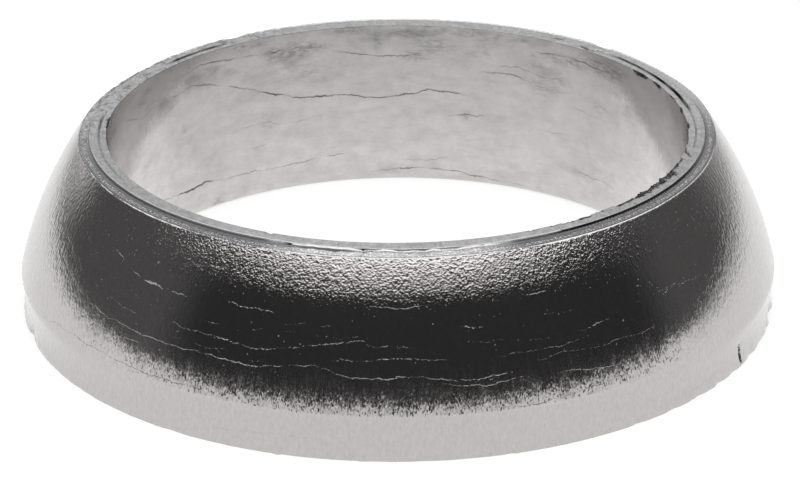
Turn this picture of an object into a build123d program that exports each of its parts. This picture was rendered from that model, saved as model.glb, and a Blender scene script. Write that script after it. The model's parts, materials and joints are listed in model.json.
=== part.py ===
# Exhaust gasket: a pressed graphite ring with a ball-shaped outer seat.
#
# Graphite tape is wound round the bore and pressed in a die, so the ring is one solid.
# The bore slips over the end of a pipe, the wide face sits flat on the pipe's flange, and
# the rounded outside beds in the flared socket of the next pipe.
#
# The origin is the centre of the wide face, and +Z runs up the bore to the narrow face.
# Bearings are degrees from the front, which faces -Y, and grow towards +X.

from build123d import *

import math
import os

# Main sizes, in millimetres
bore_diameter = 51.0
height = 15.8
wide_wall = 7.95
rim_height = 3.6
rim_waist = 0.24  # how far the rim draws in between the seat and the wide face
foot_chamfer = 0.05
bore_chamfer = 0.3

# Narrow face, from the bore outwards: a flat band, a steep step down, a shelf, a low burr
# and a tight rounded lip
band_width = 1.45
step_width = 0.15
step_drop = 0.28
shelf_width = 0.52
shelf_drop = 0.07
burr_width = 0.18
burr_rise = 0.05
lip_width = 0.14
lip_drop = 0.07
lip_bulge = 0.025

# The innermost turn of tape, and where its seam stands open on the narrow face
tape_thickness = 0.65
seam_width = 0.2
seam_depth = 0.45
open_seams = ((77, 134), (216, 235), (261, 290))  # first and last bearing

# Breaks across the innermost turn, at the narrow face
break_bearings = (76, 137)
break_width = 0.25
break_depth = 0.3

# Torn edge of the innermost turn: first and last bearing, width and depth of each bite
tear_bites = (
    (-24.6, -23.6, 0.14, 0.12),
    (-7.4, -6.6, 0.12, 0.10),
    (31, 35, 0.20, 0.15),
    (35, 38, 0.35, 0.30),
    (40, 42, 0.15, 0.20),
    (44.5, 50, 0.36, 0.25),
    (50, 53, 0.50, 0.40),
    (53, 56, 0.55, 0.50),
    (56, 61, 0.55, 0.45),
    (61, 65.5, 0.58, 0.35),
    (66, 68.5, 0.30, 0.25),
    (69, 72, 0.22, 0.30),
    (97, 99, 0.10, 0.32),
    (111, 113.5, 0.10, 0.40),
    (117, 121.5, 0.10, 0.45),
    (266, 271, 0.12, 0.26),
)

# Split in the rim's lower edge
split_bearing = 61.5
split_width = 0.45
split_height = 1.75
split_depth = 0.8
split_lean = -0.55

# Flakes lost from an edge: bearing, length along the edge, depth and height of each
rim_chips = (
    (79.5, 3.0, 0.30, 1.1),
    (65, 1.6, 0.12, 0.6),
    (16, 0.9, 0.10, 0.4),
    (-34, 1.4, 0.10, 0.6),
    (-73, 3.4, 0.22, 1.0),
    (128, 1.8, 0.16, 0.7),
    (201, 1.3, 0.12, 0.5),
)
lip_chips = (
    (136, 2.2, 0.35, 0.9),
    (213.5, 2.6, 0.35, 0.9),
)

# Every cut starts this far outside the ring
cut_clearance = 0.5

# Sizes that follow from those above
bore_radius = bore_diameter / 2
rim_radius = bore_radius + wide_wall
band_radius = bore_radius + band_width
step_radius = band_radius + step_width
shelf_radius = step_radius + shelf_width
burr_radius = shelf_radius + burr_width
seat_top_radius = burr_radius + lip_width
step_height = height - step_drop
shelf_height = step_height - shelf_drop
burr_height = shelf_height + burr_rise
seat_top_height = burr_height - lip_drop

# The seat is part of a ball centred on the axis, through the seat's top and its foot
ball_centre = (
    seat_top_radius**2 - rim_radius**2 + seat_top_height**2 - rim_height**2
) / (2 * (seat_top_height - rim_height))
ball_radius = math.hypot(seat_top_radius, seat_top_height - ball_centre)
seat_middle_height = (seat_top_height + rim_height) / 2
seat_middle_radius = math.sqrt(ball_radius**2 - (seat_middle_height - ball_centre) ** 2)


def direction(bearing):
    """The level direction that points outwards at a bearing."""
    turn = math.radians(bearing)
    return Vector(math.sin(turn), -math.cos(turn), 0)


def section_plane(bearing):
    """An upright plane through the axis: its x runs outwards and its y runs up."""
    outwards = direction(bearing)
    return Plane(origin=(0, 0, 0), x_dir=outwards, z_dir=outwards.cross(Vector(0, 0, 1)))


def edge_plane(bearing, radius):
    """An upright plane across a bearing: its x runs along the rim and its y runs up."""
    outwards = direction(bearing)
    along = Vector(0, 0, 1).cross(outwards)
    return Plane(origin=outwards * radius, x_dir=along, z_dir=outwards)


def flake_radius(length, depth):
    """Radius of the round flake that bites this deep along a stretch of this length."""
    return (length**2 / 4 + depth**2) / (2 * depth)


with BuildPart() as gasket_ring:
    # The ring's section, turned about the bore's axis
    with BuildSketch(section_plane(0)):
        with BuildLine():
            bore_and_face = Polyline(
                (bore_radius + bore_chamfer, 0),
                (bore_radius, bore_chamfer),
                (bore_radius, height),
                (band_radius, height),
                (step_radius, step_height),
                (shelf_radius, shelf_height),
                (burr_radius, burr_height),
            )
            lip = ThreePointArc(
                bore_and_face @ 1,
                (burr_radius + lip_width / 2, burr_height - lip_drop / 2 + lip_bulge),
                (seat_top_radius, seat_top_height),
            )
            seat = ThreePointArc(
                lip @ 1,
                (seat_middle_radius, seat_middle_height),
                (rim_radius, rim_height),
            )
            rim = ThreePointArc(
                seat @ 1,
                (rim_radius - rim_waist, rim_height / 2),
                (rim_radius, foot_chamfer),
            )
            Polyline(
                rim @ 1,
                (rim_radius - foot_chamfer, 0),
                bore_and_face @ 0,
            )
        make_face()
    revolve(axis=Axis.Z)

    # The open stretches of the seam behind the innermost turn
    for first, last in open_seams:
        with BuildSketch(section_plane(first)):
            with Locations((bore_radius + tape_thickness, height)):
                Polygon(
                    (-seam_width / 2, cut_clearance),
                    (-seam_width / 2, 0),
                    (0, -seam_depth),
                    (seam_width / 2, 0),
                    (seam_width / 2, cut_clearance),
                    align=None,
                )
        revolve(axis=Axis.Z, revolution_arc=last - first, mode=Mode.SUBTRACT)

    # Breaks across the innermost turn
    for bearing in break_bearings:
        with BuildSketch(edge_plane(bearing, bore_radius - cut_clearance)):
            with Locations((0, height)):
                Polygon(
                    (-break_width / 2, cut_clearance),
                    (-break_width / 2, 0),
                    (0, -break_depth),
                    (break_width / 2, 0),
                    (break_width / 2, cut_clearance),
                    align=None,
                )
        extrude(amount=cut_clearance + tape_thickness, mode=Mode.SUBTRACT)

    # Bites torn out of the innermost turn's edge
    for first, last, width, depth in tear_bites:
        with BuildSketch(section_plane(first)):
            with Locations((bore_radius, height)):
                Polygon(
                    (-cut_clearance, cut_clearance),
                    (-cut_clearance, -depth),
                    (0, -depth),
                    (width, 0),
                    (width, cut_clearance),
                    align=None,
                )
        revolve(axis=Axis.Z, revolution_arc=last - first, mode=Mode.SUBTRACT)

    # The leaning split in the rim
    with BuildSketch(edge_plane(split_bearing, rim_radius + cut_clearance)):
        Polygon(
            (-split_width / 2, -cut_clearance),
            (split_width / 2, -cut_clearance),
            (split_lean, split_height),
            align=None,
        )
    extrude(amount=-cut_clearance - split_depth, mode=Mode.SUBTRACT)

    # Flakes lost from the rim's lower edge, each fading out upwards
    for bearing, length, depth, tall in rim_chips:
        flake = flake_radius(length, depth)
        with Locations(direction(bearing) * (rim_radius + flake - depth)):
            Cone(
                bottom_radius=flake,
                top_radius=flake - depth,
                height=tall,
                align=(Align.CENTER, Align.CENTER, Align.MIN),
                mode=Mode.SUBTRACT,
            )

    # Flakes lost from the lip, each fading out downwards
    for bearing, length, depth, tall in lip_chips:
        flake = flake_radius(length, depth)
        lip_edge = direction(bearing) * (seat_top_radius + flake - depth)
        with Locations(lip_edge + Vector(0, 0, height)):
            Cone(
                bottom_radius=flake - depth,
                top_radius=flake,
                height=tall,
                align=(Align.CENTER, Align.CENTER, Align.MAX),
                mode=Mode.SUBTRACT,
            )

gasket_ring.part.label = "gasket_ring"

os.makedirs("parts", exist_ok=True)
export_step(gasket_ring.part, "parts/gasket_ring.step")

print("Ball centre above the wide face:", round(ball_centre, 2), "mm")
print("Ball radius:", round(ball_radius, 2), "mm")
print("Volume:", round(gasket_ring.part.volume / 1000, 2), "cm3")
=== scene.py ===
import json
import math

import bmesh
import bpy
import numpy as np
from mathutils import Matrix, Vector, noise


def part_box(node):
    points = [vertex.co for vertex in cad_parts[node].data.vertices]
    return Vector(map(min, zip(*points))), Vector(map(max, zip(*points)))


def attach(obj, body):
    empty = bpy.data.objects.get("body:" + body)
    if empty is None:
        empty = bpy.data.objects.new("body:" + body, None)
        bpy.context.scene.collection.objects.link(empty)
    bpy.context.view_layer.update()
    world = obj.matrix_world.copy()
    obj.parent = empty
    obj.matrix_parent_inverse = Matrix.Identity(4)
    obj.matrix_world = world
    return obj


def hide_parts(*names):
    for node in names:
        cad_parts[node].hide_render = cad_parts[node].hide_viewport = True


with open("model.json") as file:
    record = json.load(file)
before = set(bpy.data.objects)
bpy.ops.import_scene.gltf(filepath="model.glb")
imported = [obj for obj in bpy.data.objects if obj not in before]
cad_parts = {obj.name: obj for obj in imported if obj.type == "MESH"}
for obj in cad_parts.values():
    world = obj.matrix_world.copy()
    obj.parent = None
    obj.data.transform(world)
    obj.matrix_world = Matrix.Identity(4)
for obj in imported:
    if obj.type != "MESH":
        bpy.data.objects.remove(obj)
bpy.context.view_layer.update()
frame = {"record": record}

# Everything is modelled in millimetres and brought to metres at the end.
# Bearings are degrees from the front (-Y) and grow towards +X.
mm = 0.001
nodeName = "gasket_ring"
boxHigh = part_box(nodeName)[1]
boreMount = [m for m in frame["record"]["mounts"] if m["name"] == "bore"][0]
boreRadius = boreMount["dims"]["r_mm"]
ringHeight = boxHigh.z / mm
seatFootRadius = boxHigh.x / mm

ring = {
    "segments": 480,
    "boreChamfer": 0.3,
    "rimHeight": 3.6,
    "rimReach": 0.5,  # how far in from the seat's foot a vertex still counts as rim
    "waist": 0.24,  # how far the rim draws in below the seat
    "waistPower": 0.7,  # under 1 the narrowest place is below the rim's middle
    "footRound": 0.05,
    "mouthRound": 0.02,  # rounding of the bore's upper edge
    "roundInset": 0.3,  # share of that rounding kept at its middle point
    "mouthZone": 0.9,  # height below the narrow face that wear may reach
    "turnThickness": 0.65,  # innermost turn of tape
    "seamHalf": 0.09,
    "seamEdge": 1.5,  # the seam's outer rows, in half widths
    "bandWidth": 1.45,
    "bandRound": 0.04,
    "stepWidth": 0.15,
    "stepDrop": 0.28,
    "stepRound": 0.04,
    "shelfWidth": 0.52,
    "shelfDrop": 0.07,
    "burrWidth": 0.18,
    "burrRise": 0.05,
    "lipWidth": 0.14,
    "lipRise": 0.025,
    "lipDrop": 0.07,
    "lipEdge": 0.05,  # a close row keeps the lip's outer edge tight
}
# Rows cut into each stretch of the section
rows = {
    "bore": 19, "mouth": 4, "turn": 3, "band": 3, "step": 2, "shelf": 4,
    "burr": 1, "lip": 3, "seat": 24, "rim": 7, "wideFace": 2,
}

# heights and radii that follow
seamRadius = boreRadius + ring["turnThickness"]
bandRadius = boreRadius + ring["bandWidth"]
stepRadius = bandRadius + ring["stepWidth"]
stepHeight = ringHeight - ring["stepDrop"]
shelfRadius = stepRadius + ring["shelfWidth"]
shelfHeight = stepHeight - ring["shelfDrop"]
burrRadius = shelfRadius + ring["burrWidth"]
burrHeight = shelfHeight + ring["burrRise"]
seatTopRadius = burrRadius + ring["lipWidth"]
seatTopHeight = burrHeight - ring["lipDrop"]
ballCentre = (
    seatTopRadius**2 - seatFootRadius**2 + seatTopHeight**2 - ring["rimHeight"]**2
) / (2 * (seatTopHeight - ring["rimHeight"]))
ballRadius = math.hypot(seatTopRadius, seatTopHeight - ballCentre)


def seatRadius(height):
    return math.sqrt(ballRadius**2 - (height - ballCentre) ** 2)


def smoothStep(low, high, value):
    t = np.clip((value - low) / (high - low), 0, 1)
    return t * t * (3 - 2 * t)


def bump(value, halfWidth):
    # 1 at nought, fading smoothly to 0 at the half width on either side
    return 1 - smoothStep(0, halfWidth, abs(value))


def between(value, rise, fall):
    # 1 inside, fading in over the first pair of values and out over the second
    return smoothStep(*rise, value) * (1 - smoothStep(*fall, value))


def bearingGap(bearing, other):
    return (bearing - other + 180) % 360 - 180


# Noises that shape the ring: size of their grains in millimetres, and seed
grains = {
    "worm": (0.21, 1), "fineWorm": (0.12, 2), "slowWave": (5.5, 3), "shortWave": (1.7, 4),
    "seamWander": (2.2, 5), "raggedEdge": (1.1, 6), "bandEdge": (1.6, 16), "seamOpen": (2.0, 7),
    "rollHeight": (0.8, 12), "rollBreaks": (1.5, 31), "fineRollBreaks": (0.5, 32),
    "rollReach": (1.0, 22), "rollLine": (0.6, 35),
    "jag": (0.42, 8), "fineJag": (0.2, 18), "rubble": (0.24, 9), "fineRubble": (0.12, 10),
    "patch": (0.8, 36), "finePatch": (0.3, 37), "leftLip": (1.6, 33), "shelf": (0.25, 11),
    "lip": (0.5, 21), "farPits": (0.55, 39), "land": (1.1, 13), "rimChip": (0.6, 14),
    "foot": (0.7, 15), "slowFoot": (2.5, 16), "split": (0.35, 38),
}
seedShift = (3.1, 7.7, 5.3)


def noiseAt(points, name):
    # smooth noise, about -1 to 1
    size, seed = grains[name]
    shift = Vector([part * seed for part in seedShift])
    return np.array([noise.noise(Vector(p) / size + shift) for p in points])


def sectionCorners():
    # radius, height, and the name of the rows cut into the edge that leads on from there
    top = ringHeight
    chamfer, corner, inset = ring["boreChamfer"], ring["mouthRound"], ring["roundInset"]
    half, bandRound, stepRound = ring["seamHalf"], ring["bandRound"], ring["stepRound"]
    seamEdge = half * ring["seamEdge"]
    lipEdgeHeight = seatTopHeight - ring["lipEdge"]
    return [
        (boreRadius + chamfer, 0, ""),
        (boreRadius, chamfer, "bore"),
        (boreRadius, top - ring["mouthZone"], "mouth"),
        (boreRadius, top - 2 * corner, ""),
        (boreRadius, top - corner, ""),
        (boreRadius + corner * inset, top - corner * inset, ""),
        (boreRadius + corner, top, ""),
        (boreRadius + 2 * corner, top, "turn"),
        (seamRadius - seamEdge, top, ""),
        (seamRadius - half, top, ""),
        (seamRadius, top, ""),
        (seamRadius + half, top, ""),
        (seamRadius + seamEdge, top, "band"),
        (bandRadius - bandRound, top, ""),
        (bandRadius + bandRound / 4, top - bandRound / 2, "step"),
        (stepRadius - stepRound / 2, stepHeight + stepRound, ""),
        (stepRadius + stepRound, stepHeight - stepRound / 8, "shelf"),
        (shelfRadius, shelfHeight, "burr"),
        (burrRadius, burrHeight, "lip"),
        (seatTopRadius, seatTopHeight, ""),
        (seatRadius(lipEdgeHeight), lipEdgeHeight, "seat"),
        (seatFootRadius, ring["rimHeight"], "rim"),
        (seatFootRadius, ring["footRound"], ""),
        (seatFootRadius - ring["footRound"], 0, "wideFace"),
    ]


def makeSection(bm):
    corners = sectionCorners()
    verts = [bm.verts.new((0, radius, height)) for radius, height, name in corners]
    edges = [bm.edges.new((a, b)) for a, b in zip(verts, verts[1:] + verts[:1])]
    for edge, (radius, height, name) in zip(edges, corners):
        if not name:
            continue
        cut = bmesh.ops.subdivide_edges(bm, edges=[edge], cuts=rows[name])
        for v in cut["geom_inner"]:
            if not isinstance(v, bmesh.types.BMVert):
                continue
            if name == "seat":
                v.co.y = seatRadius(v.co.z)
            if name == "lip":
                along = (v.co.y - burrRadius) / ring["lipWidth"]
                v.co.z += 4 * along * (1 - along) * ring["lipRise"]
    for v in bm.verts:
        share = v.co.z / ring["rimHeight"]
        if v.co.y > seatTopRadius and 0 < share < 1:
            v.co.y -= ring["waist"] * math.sin(math.pi * share ** ring["waistPower"])


everywhere = (-181, 181)
# Where the mesh is made finer: heights, radii and bearings, and how many times
finerZones = [
    ("crinkled seat", (11.6, ringHeight), (seatTopRadius - 0.02, math.inf), everywhere, 1),
    ("crinkled front", (12.2, ringHeight), (seatTopRadius - 0.02, math.inf), (-44, 44), 1),
    ("rough face", (seatTopHeight, math.inf), (bandRadius - 0.1, seatTopRadius), (-85, 85), 1),
    ("mouth", (ringHeight - ring["mouthZone"], math.inf), (0, seamRadius + 0.1), (22, 122), 1),
    ("split", (-math.inf, 2.0), (seatFootRadius - ring["rimReach"], math.inf), (59.9, 62.4), 3),
]


def refine(bm, heights, radii, bearings):
    # cuts every face whose centre is in the zone into four
    chosen = []
    for face in bm.faces:
        centre = face.calc_center_median()
        bearing = math.degrees(math.atan2(centre.x, -centre.y))
        radius = math.hypot(centre.x, centre.y)
        measures = ((centre.z, heights), (radius, radii), (bearing, bearings))
        if all(low < value < high for value, (low, high) in measures):
            chosen.append(face)
    edges = list(dict.fromkeys(edge for face in chosen for edge in face.edges))
    bmesh.ops.subdivide_edges(bm, edges=edges, cuts=1, use_grid_fill=True)
    return len(chosen)


# Hairline cracks: how strong, then bearing and height of each point
outerCracks = [
    (1.0, [(-54, 12.5), (-50, 12.2), (-47, 11.65), (-45, 11.35), (-42, 11.2)]),
    (5.5, [(-43.6, 11.2), (-41, 11.15), (-38.4, 11.15)]),
    (0.9, [(-39.6, 11.15), (-36, 11.1), (-32.5, 11.2)]),
    (1.1, [(-28, 11.6), (-25, 11.3), (-22, 11.35), (-18, 11.2)]),
    (0.8, [(-5, 12.25), (-3, 12.2), (0, 12.1), (5, 12.3)]),
    (0.55, [(16, 12.1), (20, 12.35), (24, 12.4), (29, 12.55)]),
    (0.45, [(-32, 9.6), (-27, 9.75), (-22, 9.7), (-15, 10.7), (-12, 10.75), (-8, 10.6)]),
    (0.9, [(-37, 9.0), (-32, 8.7), (-28, 8.8), (-24, 8.5), (-20, 8.4), (-17, 8.75),
           (-14, 9.05), (-10, 9.4), (-8, 9.55), (-3, 9.8)]),
    (0.9, [(-66, 9.6), (-60, 8.6), (-55, 7.9), (-49, 7.5), (-43, 7.35), (-38, 7.3), (-28, 7.25),
           (-20, 7.1), (-17, 7.4), (-15, 7.65), (-12, 7.6), (-10, 7.45), (-7, 6.9), (-3, 6.95),
           (3, 7.1), (8, 6.7), (11, 6.65), (14, 6.75), (19, 7.25)]),
    (0.8, [(-11, 8.15), (-6, 8.2), (0, 8.5), (4, 8.35), (8, 8.15)]),
    (0.9, [(8, 10.7), (11, 10.5), (15, 10.2)]),
    (0.55, [(17, 9.6), (21, 9.75)]),
    (0.9, [(26, 8.9), (28, 9.05), (31, 9.25), (34, 9.4)]),
    (0.45, [(19, 7.25), (22, 7.6), (25, 7.75), (28, 7.55), (31, 7.5), (35, 7.65), (38, 7.5),
           (42, 7.7)]),
    (0.9, [(6, 6.5), (9, 6.2), (13, 6.1), (17, 6.35), (20, 6.2)]),
    (0.45, [(22, 6.3), (27, 6.1), (33, 5.6)]),
    (0.9, [(46, 9.85), (51, 9.8)]),
    (0.55, [(53, 7.95), (58, 7.9)]),
    (0.45, [(-62, 6.8), (-57, 6.6), (-52, 6.5), (-46, 6.4), (-40, 6.6)]),
    (1.0, [(-76, 4.0), (-72, 3.6), (-65, 3.95), (-60, 4.55), (-55, 4.6), (-50, 4.6), (-40, 4.5),
           (-30, 4.45)]),
    (1.2, [(-29, 1.15), (-23, 1.5), (-17, 1.8), (-10, 1.55)]),
    (1.0, [(33, 0.35), (40, 0.55), (46, 0.8), (52, 1.0), (58, 1.5)]),
    (1.2, [(61.4, 2.0), (64, 2.5), (67, 2.3), (70, 2.45), (74, 2.2)]),
    (1.0, [(62, 0.5), (63.4, 1.1), (65, 1.8)]),
    (0.8, [(14, 4.3), (20, 4.15), (27, 4.6), (35, 4.9)]),
    (0.45, [(-12, 3.0), (-4, 2.7), (5, 2.9), (12, 2.6)]),
    (0.55, [(-74, 5.1), (-70, 5.6), (-66, 6.1)]),
    (0.55, [(-80, 10.8), (-76, 11.3), (-73, 11.8)]),
    (0.45, [(-68, 11.2), (-64, 10.6), (-60, 10.0), (-56, 9.3)]),
    (0.45, [(-63, 12.6), (-59, 11.9), (-55, 11.1), (-52, 10.3)]),
    (0.55, [(-47, 10.2), (-43, 9.8), (-39, 9.5)]),
    (0.45, [(4, 9.6), (9, 9.35), (14, 9.4), (19, 9.2)]),
    (0.45, [(-12, 9.2), (-6, 9.45), (0, 9.3), (6, 9.0)]),
    (0.45, [(20, 10.9), (26, 10.6), (33, 10.8)]),
    (0.45, [(-20, 10.2), (-14, 9.9), (-8, 9.8), (-2, 10.1)]),
    (0.45, [(12, 8.0), (18, 8.3), (24, 8.2), (30, 8.5)]),
    (0.45, [(-36, 8.0), (-30, 7.8), (-24, 7.9)]),
    (0.45, [(-52, 9.1), (-46, 8.7), (-40, 8.6)]),
    (0.45, [(36, 9.9), (42, 9.95), (48, 9.8), (55, 9.6)]),
    (5.0, [(39.0, 11.0), (40.8, 10.8)]),
    (5.0, [(44.2, 9.7), (45.8, 9.75)]),
    (4.0, [(46.4, 10.0), (48.0, 10.05)]),
    (4.0, [(57.0, 14.1), (57.9, 13.4), (58.9, 12.6)]),
    (4.0, [(-57.6, 10.9), (-56.0, 11.0)]),
    (4.0, [(-56.4, 11.25), (-54.4, 11.5)]),
    (0.55, [(66, 8.4), (72, 8.9), (79, 8.6), (85, 9.3)]),
    (0.55, [(98, 6.2), (106, 6.9), (115, 6.6), (121, 7.0)]),
    (0.9, [(128, 9.6), (134, 9.2), (142, 9.7), (150, 9.4), (155, 9.9)]),
    (0.9, [(162, 6.9), (170, 6.4), (178, 6.7), (186, 6.3), (195, 6.8), (203, 6.5)]),
    (0.55, [(176, 10.4), (183, 10.8), (190, 10.5)]),
    (0.9, [(212, 8.7), (219, 9.1), (228, 8.7), (236, 9.0)]),
    (0.55, [(241, 6.4), (249, 6.1), (257, 6.6), (264, 6.3)]),
    (0.55, [(252, 10.5), (259, 10.9), (268, 10.6)]),
]
boreCracks = [
    (1.15, [(164, 8.9), (168, 9.15), (174, 9.3), (177, 8.8), (184, 8.45), (190, 8.9), (196, 9.05),
            (202, 9.15), (204, 9.65), (208, 10.05), (213, 10.95)]),
    (0.6, [(210, 10.4), (213, 10.95), (217, 11.6), (222, 12.4), (226, 12.9), (229, 13.15)]),
    (0.5, [(228, 13.1), (233, 12.8), (239, 12.95), (246, 12.5), (254, 13.6)]),
    (0.9, [(149, 0.4), (155, 0.5), (162, 0.65), (166, 0.95), (171, 1.15), (176, 1.15),
           (180, 1.1), (186, 0.75)]),
    (0.7, [(190, 2.9), (196, 2.75), (202, 2.5), (210, 2.3), (214, 2.55), (221, 2.4)]),
    (1.4, [(219, 2.4), (223, 2.7), (225, 2.9), (228, 2.85), (230, 2.7), (238, 3.0), (243, 3.4)]),
    (0.7, [(175, 12.9), (179, 12.7), (184, 12.75), (189, 13.1), (194, 13.5)]),
    (0.6, [(210, 14.15), (217, 14.5), (225, 14.8), (230, 14.65)]),
    (1.0, [(160, 7.1), (165, 6.95), (170, 6.5)]),
    (0.9, [(230, 8.8), (233, 8.8)]),
    (1.0, [(221, 0.5), (224, 0.3)]),
    (0.8, [(130, 14.2), (137, 14.5), (144, 14.6), (150, 14.3)]),
    (0.6, [(130, 9.2), (135, 9.5), (140, 9.7)]),
    (0.7, [(126, 3.0), (130, 3.3), (134, 3.2), (140, 3.45)]),
    (0.5, [(168, 2.5), (172, 2.1), (176, 1.9), (181, 2.0)]),
    (0.5, [(150, 11.3), (156, 11.7), (163, 11.5)]),
    (0.4, [(140, 12.4), (147, 12.0), (154, 12.5), (160, 12.3)]),
    (0.4, [(196, 7.1), (203, 6.7), (211, 7.3), (218, 7.0)]),
    (0.4, [(206, 5.2), (212, 4.9), (219, 5.3)]),
    (0.4, [(134, 6.3), (141, 6.8), (148, 6.5)]),
    (0.3, [(138, 11.2), (144, 10.8), (149, 11.0)]),
    (0.6, [(60, 7.4), (52, 7.9), (44, 7.6), (36, 8.1), (28, 7.9)]),
    (0.5, [(18, 4.1), (9, 4.6), (0, 4.3), (-8, 4.7)]),
    (0.6, [(-20, 10.4), (-29, 10.9), (-38, 10.5), (-47, 11.0)]),
    (0.5, [(-60, 5.2), (-68, 5.6), (-77, 5.3)]),
    (0.5, [(80, 11.8), (88, 12.2), (97, 11.9)]),
]
# Stains in the bore: bearing, height, half length and half height in millimetres, strength
boreStains = [
    (206.5, 13.9, 1.6, 0.5, 1.0), (200, 14.2, 2.4, 0.5, 0.7), (203, 13.5, 2.0, 0.5, 0.4),
    (176, 12.9, 1.6, 0.4, 0.6), (172, 13.8, 2.6, 0.7, 0.4), (165, 7.0, 0.9, 0.25, 0.5),
    (169, 6.7, 0.9, 0.25, 0.4), (226.5, 13.2, 0.8, 0.25, 1.2), (231, 8.85, 0.6, 0.22, 1.2),
    (237.5, 12.95, 1.2, 0.25, 0.9), (222, 0.5, 0.9, 0.4, 0.8), (132, 10.3, 1.4, 0.4, 0.4),
    (147, 11.0, 1.8, 1.0, 0.3),
    (144, 12.0, 1.8, 0.5, 0.35), (184.3, 14.8, 0.5, 1.6, 0.4), (130, 14.6, 3.0, 0.8, 0.6),
    (142, 14.2, 2.8, 0.6, 0.5), (199.5, 11.6, 1.8, 0.6, 0.3), (209, 7.0, 0.9, 1.0, 0.25),
    (178, 15.0, 3.5, 0.6, 0.35), (190, 15.4, 3.0, 0.4, 0.4), (160, 15.2, 4.0, 0.5, 0.35),
    (213, 15.3, 2.5, 0.4, 0.4),
]
stainFade = (0.3, 1.3)  # shares of its size over which a stain fades

crack = {
    "layers": 6,  # how many cracks may run beside each other
    "step": 0.4,  # degrees between the points that a route is drawn through
    "pastEnd": 0.01,  # keeps the last point of a route
    "smoothing": 3,  # times that a route is smoothed
    "waver": 0.16,
    "waverGrain": (0.8, 3),  # grains per millimetre, and seed
    "finerGrain": (2.6, 9),
    "finerShare": 0.8,
    "waverGap": 5.7,  # keeps the noises of two cracks apart
    "patchGrain": (0.6, 8),
    "patchGap": 3.3,
    "patchMean": 0.8,
    "patchSwing": 1.1,
    "taper": 1.6,  # length over which an end fades
    "fadeStart": 0.5,  # share of its reach where a crack starts to fade
    "searched": 2.5,  # reaches round a crack that are searched for its emptiest layer
    "outerRadius": 31,
    "outerReach": 1.1,
    "boreReach": 1.5,
    "farAway": 50.0,  # the distance kept where there is no crack
}


def noiseAlong(along, grain, row):
    scale, seed = grain
    return np.array([noise.noise(Vector((a * scale, row, seed))) for a in along])


def crackRoute(points):
    # the crack's two ends, its bearings and its height at each
    points = sorted(points)
    first, last = points[0][0], points[-1][0]
    marks = np.arange(first, last + crack["pastEnd"], crack["step"])
    route = np.interp(marks, *zip(*points))
    for _ in range(crack["smoothing"]):
        route[1:-1] = (route[:-2] + 2 * route[1:-1] + route[2:]) / 4
    return first, last, marks, route


def traceCracks(cracks, shape, where, radius, reach):
    # writes each crack's signed distance and strength into the layer where it meets no other
    for number, (force, points) in enumerate(cracks):
        first, last, marks, route = crackRoute(points)
        along = np.radians(marks) * radius
        waver = noiseAlong(along, crack["waverGrain"], number * crack["waverGap"])
        finer = noiseAlong(along, crack["finerGrain"], number * crack["waverGap"])
        route += crack["waver"] * (waver + crack["finerShare"] * finer)
        patchy = crack["patchSwing"] * noiseAlong(along, crack["patchGrain"], number * crack["patchGap"])
        patchy += crack["patchMean"]
        slope = np.gradient(route, along)
        middle = (first + last) / 2
        spot = middle + bearingGap(shape.bearing, middle)
        lean = np.hypot(1, np.interp(spot, marks, slope))
        gap = (shape.z - np.interp(spot, marks, route)) / lean
        toEnd = np.radians(np.minimum(spot - first, last - spot)) * radius
        taper = np.clip(toEnd / crack["taper"], 0, 1)
        # a force over 1 keeps what is above 1 even where the crack is patchy
        own = taper * np.maximum(force * np.interp(spot, marks, patchy), force - 1)
        own *= 1 - smoothStep(reach * crack["fadeStart"], reach, abs(gap))
        crossed = where & (toEnd > -reach)
        around = crossed & (abs(gap) < crack["searched"] * reach)
        busy = np.count_nonzero(shape.forces[around], axis=0)
        layer = int(np.argmin(busy))
        take = crossed & (abs(gap) < abs(shape.gaps[:, layer]))
        shape.gaps[take, layer] = gap[take]
        shape.forces[take, layer] = own[take]


# Torn edge of the innermost turn: first and last bearing, width and depth
tearBites = [
    (-24.6, -23.6, 0.14, 0.12), (-19.4, -18.8, 0.10, 0.08), (-7.4, -6.6, 0.12, 0.10),
    (24, 27, 0.12, 0.12), (29, 31, 0.12, 0.10), (31, 35, 0.22, 0.15), (35, 38.3, 0.35, 0.30),
    (40, 41.5, 0.15, 0.20), (44.5, 50, 0.36, 0.25), (50, 53, 0.50, 0.40), (53, 56, 0.55, 0.50),
    (56, 61, 0.55, 0.45), (61, 65.5, 0.58, 0.35), (66, 68.5, 0.30, 0.25), (69, 72, 0.22, 0.3),
    (75, 77.5, 0.12, 0.3), (79, 83, 0.05, 0.16), (87.5, 91, 0.10, 0.06), (97, 99, 0.06, 0.32),
    (103, 105.5, 0.03, 0.12), (111, 113.5, 0.05, 0.26), (117, 121.5, 0.04, 0.30),
    (264.5, 267, 0.12, 0.10), (266.5, 271, 0.05, 0.26),
]
# Rubble pushed into the bore: bearing, half width in degrees, how far
rubble = [
    (36.5, 1.3, 0.14), (40.7, 0.6, 0.14), (53.7, 1.4, 0.36), (57.5, 2.2, 0.16), (61.5, 2.0, 0.16),
    (64.5, 1.2, 0.10), (68.5, 1.6, 0.08),
]
# Open stretches of the seam: first and last bearing, how open, and extra width
openSeams = [
    (76, 100, 0.24, -0.4), (95, 134, 1.0, 0.75), (134.5, 141, 1.0, 1.1), (143, 147, 0.8, 0.6),
    (216, 235, 1.0, 0.9), (238, 242, 0.7, 0.6), (246, 250, 0.6, 0.6), (261, 278, 0.75, 0.1),
    (272, 300, 0.35, 0.0),
]
breakBearings = [76, 137]
# Gaps in the rolled edge at the front: bearing, half width
rollGaps = [(-26, 3.0), (-6.0, 0.9), (1.8, 0.7), (14.8, 0.6), (22, 2.0)]
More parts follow.
